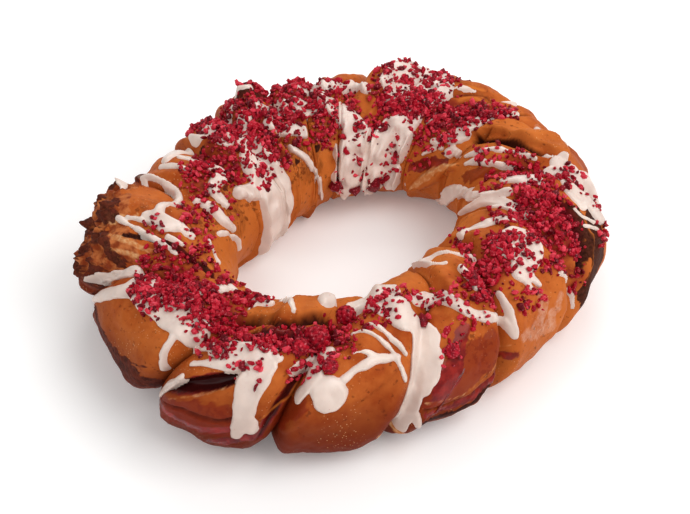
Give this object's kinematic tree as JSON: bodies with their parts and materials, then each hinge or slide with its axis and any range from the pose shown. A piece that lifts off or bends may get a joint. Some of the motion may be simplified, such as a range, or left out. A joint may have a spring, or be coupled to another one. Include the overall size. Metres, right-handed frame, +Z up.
{
  "type": "kringle",
  "caption": "Sweet twisted kringle: a filled yeast dough rope baked as an oval ring, with white icing, a berry filling in its cut layers and raspberries on top.",
  "frame": {"origin": "middle of the kringle's footprint, on the surface that it rests on", "axes": "+Z up out of the surface, -Y towards the viewer in the picture, +X to the viewer's right"},
  "size_m": [0.2917, 0.298, 0.0751],
  "materials": {
    "dough": "baked, satin",
    "filling": "sticky, glossy",
    "icing": "set sugar icing, satin",
    "raspberry": "dried, matt"
  },
  "bodies": {
    "root": {"dough": "dough", "filling_front": "filling", "filling_back": "filling", "icing_left": "icing", "icing_left_band": "icing", "icing_wide_run": "icing", "icing_back_left": "icing", "icing_back": "icing", "icing_top": "icing", "icing_back_right": "icing", "icing_right": "icing", "icing_right_inner": "icing", "icing_right_pool": "icing", "icing_front_right": "icing", "icing_front": "icing", "icing_left_front": "icing", "icing_front_drip": "icing", "raspberry_1": "raspberry", "raspberry_2": "raspberry", "raspberry_3": "raspberry", "raspberry_4": "raspberry", "raspberry_5": "raspberry"}
  },
  "joints": []
}
